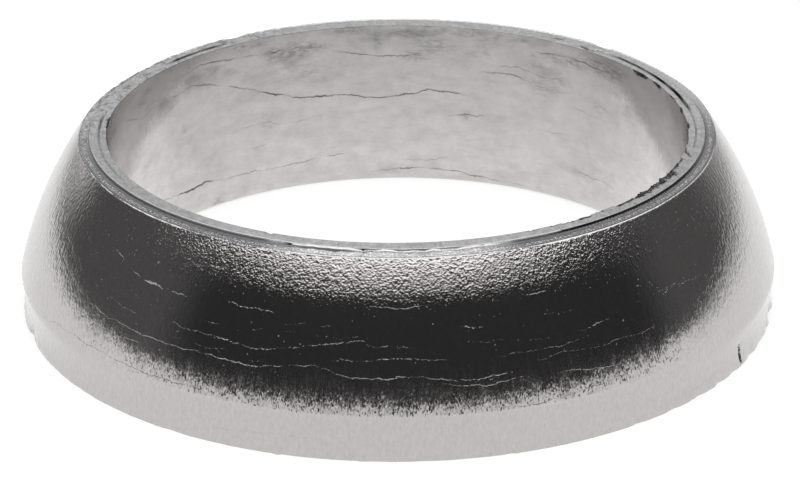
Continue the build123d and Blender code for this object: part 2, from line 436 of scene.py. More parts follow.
# Where its bright line runs: bearing, share of the way down the roll
rollPath = [
    (-27, 0.3), (-20, 0.35), (-12, 0.2), (-8, 0.3), (-6, 0.9), (-4, 0.85), (-2.5, 0.3), (-1, 0.5),
    (0, 0.9), (2.2, 0.75), (4.5, 0.85), (6, 0.3), (7.5, 0.8), (10, 0.85), (12, 0.35), (16, 0.4),
    (19, 0.5), (24, 0.6),
]
# Flakes: bearing, length, depth, height
rimChips = [
    (79.5, 3.0, 0.30, 1.1), (65, 1.6, 0.12, 0.6), (16, 0.9, 0.10, 0.4), (36, 1.2, 0.10, 0.3),
    (43, 1.6, 0.10, 0.35), (48.5, 2.0, 0.13, 0.45), (54, 1.8, 0.15, 0.5), (58.5, 1.2, 0.12, 0.4),
    (70, 3.6, 0.09, 0.6), (74.5, 1.0, 0.08, 0.4), (85.5, 2.8, 0.10, 0.7), (91, 1.2, 0.08, 0.5),
    (-34, 1.4, 0.10, 0.6), (-73, 3.4, 0.22, 1.0), (128, 1.8, 0.16, 0.7), (201, 1.3, 0.12, 0.5),
]
lipChips = [(136, 2.2, 0.35, 0.9), (213.5, 2.6, 0.35, 0.9)]
# Crumbs that stick out at the foot: bearing, half width, how far
crumbs = [(-17.2, 0.3, 0.16), (-5, 0.3, 0.1), (16.5, 0.2, 0.1), (48, 0.25, 0.12), (53, 0.3, 0.12)]
split = {
    "bearing": 61.0, "halfWidth": 0.16, "height": 1.75, "depth": 0.6, "lean": -0.45,
    "swing": 0.07, "leastHalf": 0.01, "end": 1.1, "footShare": 0.3, "wall": (0.85, 1.15), "shade": (1.1, 1.5),
}

# Where the seam wanders off its circle: bearing, half width in degrees, how far
seamBends = [(130, 26, 0.14), (137, 3.6, -0.42), (143.5, 5, 0.22), (225, 18, 0.10), (249, 14, 0.24)]

# Reaches are millimetres, and pairs are bearings or heights over which something fades
skin = {
    "least": 0.01, "front": (38, 66), "heights": (11.2, 13.4), "sideShare": 0.35,
    "height": 0.011, "fineShare": 0.5, "slowWave": 0.010, "shortWave": 0.0025,
}
band = {
    "seamSwing": 0.03, "raggedMiddle": -1.5, "raggedFade": (13, 25), "raggedReach": 0.10,
    "narrowing": 0.30, "narrowingFade": (30, 85), "edgeSwing": 0.02, "edgeStart": 0.2,
}
backRise = {"reach": 0.12, "fade": (60, 112), "start": 0.04}
roll = {
    "height": 0.11, "heightSwing": 0.09, "reach": 0.12, "share": 0.75, "breaks": 0.9,
    "fineBreaks": 0.7, "lineSwing": 0.12, "lineFade": (0.16, 0.34), "shadeSpan": (-0.3, 1.6),
    "shadeFade": (-0.1, 0.15), "below": 0.4, "belowShare": 0.25, "belowFade": (-10, -5),
}
seamCut = {"depth": 0.45, "fade": 5, "mean": 0.85, "swing": 0.5, "floor": 0.5, "walls": 1.6, "shade": 1.2}
tear = {
    "fineJag": 0.6, "ends": 0.5, "steep": 0.35, "steepUntil": 74, "widthJag": 0.55, "depthJag": 0.45,
    "terraceJag": 0.4, "mouthJag": 0.5, "rubble": 0.16, "fineRubble": 0.08, "bulge": 0.05,
    "hollow": 0.08, "boreFade": (0.45, 0.1), "faceFade": (0.05, 0.4), "terraceFade": (0, 0.09),
    "terraceDrop": 0.07, "terraceRough": 1.1, "terraceReach": 0.7, "leastTerrace": 0.1,
    "pushedWidth": 1.5, "pushedSwing": 0.6, "pushedJag": 0.4, "tornPush": 2,
}
turnBreak = {"lean": 1.5, "fade": (0.08, 0.26), "depth": 0.3, "beyondSeam": 0.1}
shelfWear = {
    "rightBack": (86, 110), "leftBack": (72, 98), "backShade": 0.85, "farLeft": 246,
    "farLeftFade": (34, 56), "farLeftShade": 0.75, "patchFade": (-0.25, 0.35), "finePatch": 0.6,
    "rough": 0.020, "pitDepth": 0.16, "landRough": 0.004, "rightFade": (22, 40), "rightStep": 30,
}
lipWear = {
    "brightMiddle": 52, "brightFade": (24, 32), "leftMiddle": -56, "leftFade": (14, 19),
    "leftPatch": (-0.35, 0.1), "frontShare": 0.5, "rough": 0.015, "heights": (13.2, 15.0),
    "back": [(240, 26, 0.2), (122, 18, 0.1)], "drop": 0.3, "chipFade": (0.3, 0.2),
    "flanks": [((22, 34), (82, 96)), ((-80, -70), (-52, -40))],
}
# Radii between which each part of the narrow face lies, a little past its rows
faceParts = {
    "step": (bandRadius - 0.02, stepRadius + 0.05),
    "stepFoot": (stepRadius - 0.08, stepRadius + 0.21),
    "shelf": (stepRadius - 0.02, burrRadius + 0.02),
    "lipFlank": (shelfRadius - 0.03, burrRadius + 0.05),
    "lip": (burrRadius - 0.05, seatTopRadius + 0.01),
    "lipCrest": (burrRadius - 0.05, seatTopRadius - 0.02),
    "outerFace": (shelfRadius - 0.1, math.inf),
}
foot = {
    "edge": (0.1, 0.9), "swing": 0.04, "slowSwing": 0.03, "inset": 0.02, "crumbEdge": (0.1, 0.45),
    "crumbWidth": 1.6, "chipSwing": 0.5,
}


class RingShape:
    # moves every vertex from the plain turned form to the real one, and keeps its finish and painted shade
    # masks
    def __init__(self, co, normals):
        x, y, z = co.T
        near = 0.01
        self.co, self.normals, self.z = co, normals, z
        self.radius = np.hypot(x, y)
        self.bearing = np.degrees(np.arctan2(x, -y))
        self.outX, self.outY = x / self.radius, y / self.radius
        self.flat = np.c_[x, y, z * 0]
        self.newRadius, self.newZ = self.radius.copy(), z.copy()
        self.lift, self.seam, self.torn = np.zeros((3, len(co)))
        self.gaps = np.full((len(co), crack["layers"]), crack["farAway"])
        self.forces = np.zeros((len(co), crack["layers"]))
        self.masks = {}
        self.onBore = (self.radius < boreRadius + near) & (z > ring["boreChamfer"] - near)
        self.onFace = (z > seatTopHeight - near) & (self.radius < seatTopRadius + near) & ~self.onBore
        self.onSeat = (z >= ring["rimHeight"] - near) & (self.radius > seatTopRadius - near)
        self.onRim = (z < ring["rimHeight"]) & (self.radius > seatFootRadius - ring["rimReach"])

    def away(self, place):
        return bearingGap(self.bearing, place)

    def along(self, place, radius):
        # millimetres from this bearing, round a circle of this radius
        return np.radians(self.away(place)) * radius

    def flatNoise(self, name):
        return noiseAt(self.flat, name)

    def solidNoise(self, name):
        return noiseAt(self.co, name)

    def onPart(self, name):
        least, most = faceParts[name]
        return self.onFace & (self.radius > least) & (self.radius < most)

    def faceRise(self, start, end):
        # 0 inside the first radius, 1 outside the second
        return np.clip((self.radius - start) / (end - start), 0, 1)

    def move(self, where, outward=0, upward=0):
        self.newRadius += np.where(where, outward, 0)
        self.newZ += np.where(where, upward, 0)

    def crinkleSkin(self):
        # crinkled skin at the top of the seat
        front = 1 - smoothStep(*skin["front"], abs(self.bearing))
        crinkle = np.where(self.onSeat, smoothStep(*skin["heights"], self.z), 0)
        crinkle *= skin["sideShare"] + (1 - skin["sideShare"]) * front
        some = crinkle > skin["least"]
        worms = noiseAt(self.co[some], "worm") + skin["fineShare"] * noiseAt(self.co[some], "fineWorm")
        self.lift[some] += skin["height"] * crinkle[some] * worms
        self.masks["crinkle"] = crinkle

    def waveSides(self):
        # slow waves over the pressed sides
        sides = self.onSeat | self.onRim | self.onBore
        slow = skin["slowWave"] * noiseAt(self.co[sides], "slowWave")
        self.lift[sides] += slow + skin["shortWave"] * noiseAt(self.co[sides], "shortWave")

    def stainBore(self):
        stain = np.zeros(len(self.co))
        for place, level, halfLength, halfHeight, strength in boreStains:
            aside = self.along(place, boreRadius) / halfLength
            spread = np.hypot(aside, (self.z - level) / halfHeight)
            here = strength * (1 - smoothStep(*stainFade, spread))
            stain = np.maximum(stain, np.where(self.onBore, here, 0))
        self.masks["stain"] = stain

    def wanderSeam(self):
        wander = band["seamSwing"] * self.flatNoise("seamWander")
        for place, half, reach in seamBends:
            wander += reach * bump(self.away(place), half)
        toSeam = self.faceRise(boreRadius, seamRadius)
        fromSeam = 1 - self.faceRise(seamRadius, bandRadius)
        self.move(self.onFace, outward=wander * np.minimum(toSeam, fromSeam))

    def wanderBand(self):
        # the band narrows at the front, where its edge is ragged too
        self.ragged = 1 - smoothStep(*band["raggedFade"], abs(self.bearing - band["raggedMiddle"]))
        edge = -band["narrowing"] * (1 - smoothStep(*band["narrowingFade"], abs(self.bearing)))
        edge += band["edgeSwing"] * self.flatNoise("bandEdge")
        edge += band["raggedReach"] * self.ragged * (1 + self.flatNoise("raggedEdge"))
        edge *= self.faceRise(seamRadius + band["edgeStart"], bandRadius)
        edge *= 1 - self.faceRise(stepRadius, shelfRadius)
        self.move(self.onFace, outward=edge)

    def liftBack(self):
        # the shelf and the lip stand higher round the back
        start = bandRadius + backRise["start"]
        self.pastStep = self.faceRise(start, start + ring["stepWidth"])
        self.pastStep *= 1 - self.faceRise(burrRadius, seatTopRadius)
        raised = backRise["reach"] * smoothStep(*backRise["fade"], abs(self.bearing))
        self.move(self.onFace, upward=raised * self.pastStep)

    def rollEdge(self):
        # the rolled edge at the front of the shelf, with gaps
        rolled = (1 - self.faceRise(stepRadius, shelfRadius)) * self.pastStep
        height = roll["height"] + roll["heightSwing"] * self.flatNoise("rollHeight")
        breaks = roll["breaks"] * self.flatNoise("rollBreaks")
        breaks += roll["fineBreaks"] * self.flatNoise("fineRollBreaks")
        here = self.ragged * np.clip(roll["share"] + breaks, 0, 1)
        for place, half in rollGaps:
            here *= 1 - bump(self.away(place), half)
        reach = roll["reach"] * (1 + self.flatNoise("rollReach"))
        self.move(self.onFace, outward=here * rolled * reach, upward=here * rolled * height)

    def openSeam(self):
        # the stretches where the innermost turn stands away from the next, with painted shadow in the gap
        openness, widening = np.zeros((2, len(self.co)))
        for first, last, strength, extra in openSeams:
            middle, half = (first + last) / 2, (last - first) / 2
            fade = min(seamCut["fade"], half)
            here = 1 - smoothStep(half - fade, half, abs(self.away(middle)))
            openness = np.maximum(openness, strength * here)
            widening = np.maximum(widening, extra * here)
        openness *= seamCut["mean"] + seamCut["swing"] * self.flatNoise("seamOpen")
        openness = np.clip(openness, 0, 1)
        fromSeam = self.radius - seamRadius
        halves = np.where(self.onFace, abs(fromSeam) / ring["seamHalf"], math.inf)
        self.move(halves < seamCut["floor"], upward=-seamCut["depth"] * openness)
        self.move(halves < seamCut["walls"], outward=widening * fromSeam)
        # painted shadow in the open seam
        self.seam = np.where(halves < seamCut["shade"], openness, 0)

    def measureTear(self, jag):
        # how wide and deep the bore's mouth is torn away, and how far a low terrace reaches
        width = np.full(len(self.co), ring["mouthRound"])
        depth = width * (1 + tear["mouthJag"] * jag)
        terrace = np.zeros(len(self.co))
        for first, last, biteWidth, biteDepth in tearBites:
            middle, half = (first + last) / 2, (last - first) / 2
            fromMiddle = abs(self.away(middle)) + tear["ends"] * jag
            inside = 1 - smoothStep(half - tear["ends"], half + tear["ends"], fromMiddle)
            steep = tear["steep"] if abs(middle) < tear["steepUntil"] else 1.0
            width = np.maximum(width, inside * steep * biteWidth * (1 + tear["widthJag"] * jag))
            depth = np.maximum(depth, inside * steep * biteDepth * (1 - tear["depthJag"] * jag))
            terrace = np.maximum(terrace, inside * biteWidth * (1 + tear["terraceJag"] * jag))
            self.torn = np.maximum(self.torn, inside)
        return width, depth, terrace

    def wearMouth(self):
        # the worn and torn mouth of the bore, with rubble pushed into the bore
        jag = self.flatNoise("jag") + tear["fineJag"] * self.flatNoise("fineJag")
        rough = tear["rubble"] * self.solidNoise("rubble")
        rough += tear["fineRubble"] * self.solidNoise("fineRubble")
        width, depth, terrace = self.measureTear(jag)
        fromMouth = self.radius - boreRadius
        path = np.where(self.onBore, self.z - ringHeight, fromMouth)
        share = (path + depth) / (depth + width)
        onTurn = self.onFace & (self.radius < seamRadius)
        atMouth = (self.onBore | onTurn) & (share > 0) & (share < 1)
        self.newRadius = np.where(atMouth, boreRadius + share * width, self.newRadius)
        self.newZ = np.where(atMouth, ringHeight - (1 - share) * depth, self.newZ)
        inner = np.where(atMouth, 4 * share * (1 - share), 0) * self.torn
        self.newRadius += inner * (rough + tear["bulge"])
        self.newZ -= inner * (np.abs(rough) + tear["hollow"])
        crumbled = self.pushRubble(jag, fromMouth)
        onTerrace = np.where(self.onFace, 1 - smoothStep(*tear["terraceFade"], fromMouth - terrace), 0)
        onTerrace *= terrace > tear["leastTerrace"]
        self.newZ -= onTerrace * (tear["terraceDrop"] + tear["terraceRough"] * np.abs(rough))
        self.newRadius += onTerrace * rough * tear["terraceReach"]
        self.torn = np.maximum(np.maximum(np.where(atMouth, self.torn, 0), onTerrace), crumbled)

    def pushRubble(self, jag, fromMouth):
        below, above = tear["boreFade"]
        near = np.where(self.onBore, smoothStep(ringHeight - below, ringHeight - above, self.z), 0)
        near += np.where(self.onFace, 1 - smoothStep(*tear["faceFade"], fromMouth), 0)
        crumbled = np.zeros(len(self.co))
        for place, half, reach in rubble:
            aside = self.away(place) + tear["pushedSwing"] * jag
            pushed = bump(aside, half * tear["pushedWidth"]) * near
            self.newRadius -= reach * pushed * (1 + tear["pushedJag"] * jag)
            crumbled = np.maximum(crumbled, np.clip(tear["tornPush"] * pushed, 0, 1))
        return crumbled

    def breakTurn(self):
        # breaks across the innermost turn, leaning back towards the front, with painted shadow in them
        for place in breakBearings:
            gap = self.along(place, boreRadius) + turnBreak["lean"] * (self.radius - boreRadius)
            onTurn = self.onFace & (self.radius < seamRadius + turnBreak["beyondSeam"])
            hit = np.where(onTurn, 1 - smoothStep(*turnBreak["fade"], abs(gap)), 0)
            self.newZ -= turnBreak["depth"] * hit
            self.seam = np.maximum(self.seam, hit)

    def roughenShelf(self):
        # the shelf beyond the step is rough, and fades out round the back but for patches at its left
        right = smoothStep(*shelfWear["rightBack"], self.bearing)
        left = smoothStep(*shelfWear["leftBack"], -self.bearing)
        toBack = np.where(self.bearing > 0, right, left)
        farLeft = 1 - smoothStep(*shelfWear["farLeftFade"], abs(self.away(shelfWear["farLeft"])))
        farLeft *= toBack
        patchy = self.flatNoise("patch") + shelfWear["finePatch"] * self.flatNoise("finePatch")
        patchy = smoothStep(*shelfWear["patchFade"], patchy)
        onShelf, onLip = self.onPart("shelf"), self.onPart("lip")
        shade = 1.0 - shelfWear["backShade"] * toBack + shelfWear["farLeftShade"] * farLeft * patchy
        self.masks["shelf"] = np.where(onShelf, shade, 0)
        self.masks["pitted"] = np.where(self.onFace, farLeft, 0)
        self.move(onShelf, upward=shelfWear["rough"] * self.flatNoise("shelf"))
        self.move(self.onPart("lipCrest"), upward=lipWear["rough"] * self.flatNoise("lip"))
        pits = farLeft * np.clip(self.flatNoise("farPits"), 0, 1)
        self.move(onLip | onShelf, upward=-shelfWear["pitDepth"] * pits)
        landRough = shelfWear["landRough"] * (self.flatNoise("land") - 1)
        self.move(self.onFace & (self.radius < bandRadius), upward=landRough)
        self.shadeStep((1 - self.ragged) * (1 - toBack))
        self.shadeLip(onLip)

    def shadeStep(self, sides):
        # a pale step, with painted shade at its foot, over all of it on the right, and on the lip's inner
        # flank
        onStep = self.onPart("step")
        onLeft = 1 - smoothStep(*shelfWear["rightFade"], self.bearing)
        self.masks["step"] = np.where(onStep, sides * onLeft, 0)
        dark = self.onPart("stepFoot") | (onStep & (self.bearing > shelfWear["rightStep"]))
        groove = np.where(dark, sides, 0)
        flankShade = sum(between(self.bearing, rise, fall) for rise, fall in lipWear["flanks"])
        self.masks["groove"] = np.maximum(groove, np.where(self.onPart("lipFlank"), flankShade, 0))

    def shadeLip(self, onLip):
        # painted shade darkens the lip but for a bright line at the right front and broken ones at the left,
        # where its highlight shows
        bright = 1 - smoothStep(*lipWear["brightFade"], abs(self.bearing - lipWear["brightMiddle"]))
        left = 1 - smoothStep(*lipWear["leftFade"], abs(self.bearing - lipWear["leftMiddle"]))
        left *= smoothStep(*lipWear["leftPatch"], self.flatNoise("leftLip"))
        lip = np.where(onLip, 1 - np.maximum(bright, left), 0)
        self.masks["lip"] = lip * (1 - lipWear["frontShare"] * self.ragged)

    def chipRim(self):
        swing = 1 + foot["chipSwing"] * self.solidNoise("rimChip")
        for place, length, depth, tall in rimChips:
            gap = self.along(place, seatFootRadius)
            bite = depth * np.clip(1 - (2 * gap / length) ** 2, 0, 1) * np.clip(1 - self.z / tall, 0, 1)
            self.move(self.onRim, outward=-bite * swing)

    def chipLip(self):
        # flakes lost from the lip, which is also worn down at the back of both sides
        nearLip = self.onSeat | self.onPart("outerFace")
        low, high = lipWear["chipFade"]
        for place, length, depth, tall in lipChips:
            gap = self.along(place, seatTopRadius)
            bite = depth * np.clip(1 - (2 * gap / length) ** 2, 0, 1)
            bite *= smoothStep(ringHeight - tall - low, ringHeight - high, self.z)
            self.move(nearLip, outward=-bite)
        worn = sum(reach * bump(self.away(place), half) for place, half, reach in lipWear["back"])
        worn *= smoothStep(*lipWear["heights"], self.z)
        self.move(nearLip, outward=-worn)
        self.move(self.onFace & (self.radius > shelfRadius), upward=-lipWear["drop"] * worn)

    def unevenFoot(self):
        # the lower edge is uneven, with crumbs
        edge = np.where(self.onRim, 1 - smoothStep(*foot["edge"], self.z), 0)
        swing = foot["swing"] * self.flatNoise("foot") + foot["slowSwing"] * self.flatNoise("slowFoot")
        self.newRadius += edge * (swing - foot["inset"])
        low = np.where(self.onRim, 1 - smoothStep(*foot["crumbEdge"], self.z), 0)
        for place, half, reach in crumbs:
            self.newRadius += reach * low * bump(self.along(place, seatFootRadius), half * foot["crumbWidth"])

    def splitRim(self):
        up = self.z / split["height"]
        gap = self.along(split["bearing"], seatFootRadius) - split["lean"] * (up - 0.5)
        gap -= split["swing"] * self.solidNoise("split")
        half = np.clip(4 * up * (split["end"] - up) + split["footShare"], 0, 1) * split["halfWidth"]
        share = abs(gap) / np.maximum(half, split["leastHalf"])
        here = self.onRim & (half > 0)
        self.move(here, outward=-split["depth"] * (1 - smoothStep(*split["wall"], share)))
        # painted shadow in the split
        self.seam = np.maximum(self.seam, np.where(here, 1 - smoothStep(*split["shade"], share), 0))

    def shadeRoll(self):
        # the rolled edge shines along a thin wandering line and is dark beside it
        down = (self.radius - bandRadius) / ring["stepWidth"]
        line = np.interp(self.bearing, *zip(*rollPath)) + roll["lineSwing"] * self.flatNoise("rollLine")
        bright = 1 - smoothStep(*roll["lineFade"], abs(down - line))
        above, below = roll["shadeSpan"]
        around = self.onFace & (down > above) & (down < below)
        shade = np.where(around, self.ragged * (1 - bright), 0) * smoothStep(*roll["shadeFade"], down)
        left = 1 - smoothStep(*roll["belowFade"], self.bearing)
        under = roll["belowShare"] + (1 - roll["belowShare"]) * left
        self.masks["rollShade"] = shade * np.where(down > line + roll["below"], under, 1.0)

    def place(self):
        # the vertices' final places, kept inside the ring's own size
        outward = np.sign(self.normals[:, 0] * self.outX + self.normals[:, 1] * self.outY)
        sideways = np.hypot(self.normals[:, 0], self.normals[:, 1]) * outward
        radius = self.newRadius + self.lift * sideways
        height = self.newZ + self.lift * self.normals[:, 2]
        return np.c_[
            np.clip(self.outX * radius, -seatFootRadius, seatFootRadius),
            np.clip(self.outY * radius, -seatFootRadius, seatFootRadius),
            np.clip(height, 0, ringHeight),
        ]

    def build(self):
        # in this order, because some steps use or replace what earlier ones made
        for step in (
            self.crinkleSkin, self.waveSides, self.stainBore, self.wanderSeam, self.wanderBand,
            self.liftBack, self.rollEdge, self.openSeam, self.wearMouth, self.breakTurn,
            self.roughenShelf, self.chipRim, self.chipLip, self.unevenFoot, self.splitRim, self.shadeRoll,
        ):
            step()
        outside = self.onSeat | self.onRim
        traceCracks(outerCracks, self, outside, crack["outerRadius"], crack["outerReach"])
        traceCracks(boreCracks, self, self.onBore, boreRadius, crack["boreReach"])
        self.masks["ragged"] = np.where(self.onFace, self.ragged, 0)
        self.masks["torn"] = self.torn
        self.masks["seam"] = self.seam
        self.masks["inside"] = np.where(self.onBore, 1.0, 0)
        self.masks["land"] = np.where(self.onFace & (self.radius < bandRadius), 1.0, 0)


def keepMasks(bm, shape):
    # the finish and painted shade masks, and the cracks' distances and strengths three to a layer
    for name, values in shape.masks.items():
        layer = bm.verts.layers.float.new(name)
        for v, value in zip(bm.verts, values):
            v[layer] = value
    for group in range(crack["layers"] // 3):
        for name, values in ((f"crackGap{group}", shape.gaps), (f"crackForce{group}", shape.forces)):
            layer = bm.verts.layers.float_vector.new(name)
            for v, value in zip(bm.verts, values[:, 3 * group:3 * group + 3]):
                v[layer] = Vector(value)


def makeRing():
    bm = bmesh.new()
    makeSection(bm)
    print("ring: rows", len(bm.verts))
    bmesh.ops.spin(
        bm, geom=bm.verts[:] + bm.edges[:], cent=(0, 0, 0), axis=(0, 0, 1), dvec=(0, 0, 0),
        angle=2 * math.pi, steps=ring["segments"], use_merge=True, use_duplicate=False,
    )
    for name, heights, radii, bearings, times in finerZones:
        for _ in range(times):
            print("ring: refined", name, refine(bm, heights, radii, bearings), "faces")
    bmesh.ops.recalc_face_normals(bm, faces=bm.faces)
    bm.normal_update()

    shape = RingShape(np.array([v.co for v in bm.verts]), np.array([v.normal for v in bm.verts]))
    shape.build()
    keepMasks(bm, shape)
    for v, place in zip(bm.verts, shape.place()):
        v.co = place
    bmesh.ops.scale(bm, vec=(mm, mm, mm), verts=bm.verts)
    for face in bm.faces:
        face.smooth = True
    print("ring: triangles", sum(len(face.verts) - 2 for face in bm.faces))
    mesh = bpy.data.meshes.new("gasketRing")
    bm.to_mesh(mesh)
    bm.free()
    piece = bpy.data.objects.new("gasketRing", mesh)
    bpy.context.scene.collection.objects.link(piece)
    return piece


class NodeBench:
    # a short way to write node trees
    def __init__(self, tree):
        self.tree = tree
        tree.nodes.clear()

    def fill(self, socket, value):
        if isinstance(value, bpy.types.NodeSocket):
            self.tree.links.new(value, socket)
        else:
            socket.default_value = value

    def add(self, kind, inputs=None, **settings):
        node = self.tree.nodes.new(kind)
        for name, value in settings.items():
            setattr(node, name, value)
        for name, value in (inputs or {}).items():
            self.fill(node.inputs[name], value)
        return node

    def math(self, operation, a, b=0.0, clamp=False):
        node = self.add("ShaderNodeMath", {0: a, 1: b}, operation=operation, use_clamp=clamp)
        return node.outputs[0]

    def chain(self, operation, first, others):
        for other in others:
            first = self.math(operation, first, other)
        return first

    def times(self, first, *others):
        return self.chain("MULTIPLY", first, others)

    def plus(self, first, *others):
        return self.chain("ADD", first, others)

    def most(self, first, *others):
        return self.chain("MAXIMUM", first, others)

    def less(self, a, b, clamp=False):
        return self.math("SUBTRACT", a, b, clamp)

    def vector(self, operation, a, b=(0, 0, 0)):
        return self.add("ShaderNodeVectorMath", {0: a, 1: b}, operation=operation).outputs[0]

    def scaled(self, vector, scale):
        return self.add("ShaderNodeVectorMath", {0: vector, "Scale": scale}, operation="SCALE").outputs[0]

    def separated(self, vector):
        return self.add("ShaderNodeSeparateXYZ", {0: vector}).outputs

    def combined(self, **axes):
        return self.add("ShaderNodeCombineXYZ", axes).outputs[0]

    def attribute(self, name, output="Fac"):
        return self.add("ShaderNodeAttribute", attribute_name=name).outputs[output]

    def noise(self, vector, scale, detail, roughness):
        node = self.add("ShaderNodeTexNoise", {
            "Vector": vector, "Scale": scale, "Detail": detail, "Roughness": roughness,
        })
        return node.outputs["Fac"]

    def mapRange(self, value, source, target=(0.0, 1.0), smooth=False):
        node = self.add("ShaderNodeMapRange", {
            "Value": value, "From Min": source[0], "From Max": source[1],
            "To Min": target[0], "To Max": target[1],
        }, interpolation_type="SMOOTHSTEP" if smooth else "LINEAR")
        return node.outputs["Result"]

    def mix(self, share, a, b):
        return self.add("ShaderNodeMix", {0: share, 2: a, 3: b}).outputs[0]

    def mixColor(self, share, a, b):
        node = self.add("ShaderNodeMix", data_type="RGBA")
        for index, value in ((0, share), (6, a), (7, b)):
            self.fill(node.inputs[index], value)
        return node.outputs[2]

    def mixShader(self, share, a, b):
        return self.add("ShaderNodeMixShader", {0: share, 1: a.outputs[0], 2: b.outputs[0]})


graphite = {
    "outside": (0.512, 0.494, 0.49, 1),
    "inside": (0.572, 0.555, 0.547, 1),
    "land": (0.29, 0.288, 0.29, 1),
    "landPale": (0.42, 0.418, 0.42, 1),
    # the shelf's dark, also laid over the lip as painted shade
    "shelf": (0.13, 0.13, 0.132, 1),
    "shelfFront": (0.34, 0.34, 0.343, 1),
    "shelfSpark": (0.56, 0.56, 0.57, 1),
    "step": (0.50, 0.50, 0.506, 1),
    # painted shade for the step's foot and right side, the lip's inner flank and the far left pits
    "groove": (0.12, 0.12, 0.124, 1),
    "rollShade": (0.10, 0.10, 0.102, 1),
    # the torn mouth: its own dull dark graphite, with painted shadow in the broken-away edge
    "torn": (0.030, 0.029, 0.028, 1),
    # near black painted shadow for the open seam, the breaks across the turn and the split in the rim
    "seam": (0.014, 0.014, 0.014, 1),
    "smudge": (0.27, 0.262, 0.26, 1),
    "stain": (0.13, 0.126, 0.124, 1),
    "crackLine": (0.12, 0.12, 0.12, 1),
    "roughness": ((0.3, 0.7), (0.07, 0.13)),  # from the fine streaks
    "streakRadius": 31.0,
    "crackJitter": 0.34,
    "crackWidth": (0.019, 0.05),  # outside, and in the bore
    "crackShade": (0.1, 0.65),
    "crackMost": 1.4,
    "grooveShade": 0.9,
    "pitShade": 0.85,
    "stainShade": (1.2, 0.9),  # how strong, and the most it covers
    "veinShade": ((0.0, 0.012), (0.20, 0.0)),
    "rubbleSpark": 0.45,
}
# Heights in millimetres; a pair is outside and in the bore
relief = {
    "streaks": 0.003, "pressed": 0.0022, "coarse": 0.036, "shelf": 0.06, "land": 0.010, "torn": 0.12,
    "pips": 0.008, "crackleShare": (1.0, 0.12), "crack": (0.0075, 0.015),
}
# How far fine marks tip the surface up and down
tilts = {"strokes": 0.09, "patches": 0.05, "dashes": 0.055, "share": (1.0, 0.2)}
# What each finish adds to the roughness
dulling = {"torn": 0.35, "land": 0.26, "shelf": 0.12, "step": 0.35, "inside": 0.05, "smudge": 0.12}
# Noises: scale per millimetre, detail and roughness, then the values between which a noise is used,
# and what it is there brought to, 0 and 1 if left out
textures = {
    "crackJitter": (2.8, 3.0, 0.72),
    "crackWidth": (0.9, 3.0, 0.7, (0.35, 0.65), (0.6, 1.5)),
    "crackBreaks": (4.5, 3.0, 0.65, (0.38, 0.58), (0.15, 1.25)),
    "fineStreaks": (6.0, 2.0, 0.6),
    "pressed": (3.0, 3.0, 0.6),
    "coarse": (5.0, 1.5, 0.6),
    "shelfGrain": (6.5, 2.0, 0.7),
    "crackle": (3.2, 1.5, 0.6),
    "landRelief": (2.2, 3.0, 0.6),
    "tornRelief": (6.0, 4.0, 0.7),
    "specks": (7.0, 1.0, 0.5, (0.74, 0.82)),
    "pips": (4.2, 1.0, 0.5, (0.77, 0.81)),
    "strokes": (11.0, 2.0, 0.7),
    "patches": (1.1, 3.0, 0.6),
    "dashes": (8.5, 2.0, 0.6, (0.53, 0.68)),
    "grain": (4.5, 3.0, 0.7, (0.3, 0.7), (0.92, 1.08)),
    "drawn": (0.3, 5.0, 0.65, (0.3, 0.7), (0.93, 1.06)),
    "blotch": (1.6, 5.0, 0.7, (0.38, 0.66)),
    "landGrain": (4.5, 3.0, 0.75, (0.36, 0.64), (0.74, 1.3)),
    "sparkle": (6.6, 2.0, 0.7, (0.51, 0.66)),
    "pits": (1.5, 4.0, 0.75, (0.545, 0.61)),
    "cloud": (0.2, 5.0, 0.62, (0.5, 0.72), (0.0, 0.8)),
    "faint": (0.7, 4.0, 0.6, (0.35, 0.7), (0.0, 0.22)),
    "drawnStain": (1.3, 4.0, 0.7, (0.4, 0.62), (0.1, 1.0)),
    "veins": (0.42, 5.0, 0.68),
    "haze": (0.8, 4.0, 0.65, (0.42, 0.7)),
}
# How much height counts in a noise: over 1 draws it out round the ring, under 1 draws it upright
stretches = {
    "crackle": 0.5, "grain": 0.4, "drawn": 3.2, "cloud": 2.2, "drawnStain": 3.0, "veins": 3.4,
    "haze": 0.5,
}
streaks = {"fineStreaks": 0.10, "strokes": 0.42, "patches": 0.5, "dashes": 0.36}
# Places in millimetres between which something changes, and from what to what, 0 and 1 if left out
spans = {
    "crackle": ((-22, -10), (0.008, 0.042)),
    "specks": ((11.2, 12.6), (0.0, 0.011)),
    "dashTop": ((6.2, 4.6),),
    "dashFoot": ((2.9, 3.7),),
    "upBore": ((2.0, 15.8), (1.08, 0.74)),
    "lowSide": ((14.0, 10.5), (0.5, 1.0)),
    # where painted light brightens the bore's side walls
    "sideWallLight": ((19.5, 24.5), (0.0, 0.26)),
    # painted shade on the land on either side of the front
    "landFront": ((-24.0, -18.0), (0.0, 0.14)),
    "landBack": ((-8.0, 3.0), (1.0, 0.0)),
    "upperBore": ((10.0, 15.5), (0.25, 1.0)),
    "haze": ((8.5, 6.0), (0.0, 0.035)),
}


